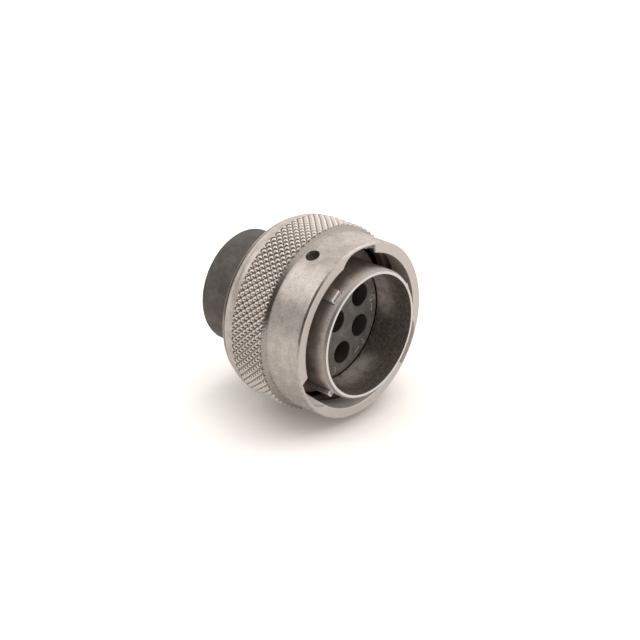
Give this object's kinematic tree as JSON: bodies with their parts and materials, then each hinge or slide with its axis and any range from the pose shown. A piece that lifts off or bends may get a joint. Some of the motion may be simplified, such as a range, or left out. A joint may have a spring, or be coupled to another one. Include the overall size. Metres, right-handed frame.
{
  "type": "circular multi-contact bayonet cable plug",
  "caption": "Circular cable plug with a knurled bayonet coupling ring, a keyed barrel, a socket contact insert and a rubber potting boot.",
  "frame": {"origin": "centre of the boot's rear end, where the plug stands on a surface", "axes": "+Z is the mating direction along the barrel, +Y points to the master key"},
  "size_m": [0.0326, 0.0326, 0.0294],
  "materials": {
    "shell_nickel": "satin nickel plate",
    "ring_nickel": "satin nickel plate",
    "spring_steel": "bright rolled",
    "insert_hard": "moulded, matt",
    "insert_soft": "matt",
    "contact_gold": "gold plate",
    "hood_steel": "bright drawn",
    "boot_rubber": "matt"
  },
  "bodies": {
    "plug_body": {"shell": "shell_nickel", "insert_front": "insert_hard", "insert_rear": "insert_soft", "potting_boot": "boot_rubber", "retaining_washer": "spring_steel", "snap_ring": "spring_steel", "wave_spring": "spring_steel", "socket_contact_1": "contact_gold", "socket_contact_2": "contact_gold", "socket_contact_3": "contact_gold", "socket_contact_4": "contact_gold", "socket_contact_5": "contact_gold", "socket_contact_6": "contact_gold", "socket_contact_7": "contact_gold", "socket_contact_8": "contact_gold", "contact_hood_1": "hood_steel", "contact_hood_2": "hood_steel", "contact_hood_3": "hood_steel", "contact_hood_4": "hood_steel", "contact_hood_5": "hood_steel", "contact_hood_6": "hood_steel", "contact_hood_7": "hood_steel", "contact_hood_8": "hood_steel"},
    "washer": {"thrust_washer": "spring_steel"},
    "coupling": {"coupling_ring": "ring_nickel"}
  },
  "joints": [
    {"name": "coupling_float", "type": "slide", "parent": "plug_body", "child": "washer", "axis": [0, 0, 1], "range_m": [0, 0.0005], "stiffness_N_per_m": 2000, "springref_m": -0.002, "deforming": ["wave_spring"]},
    {"name": "coupling_turn", "type": "hinge", "parent": "washer", "child": "coupling", "pos_m": [0, 0, 0.0145], "axis": [0, 0, 1], "continuous": true}
  ]
}
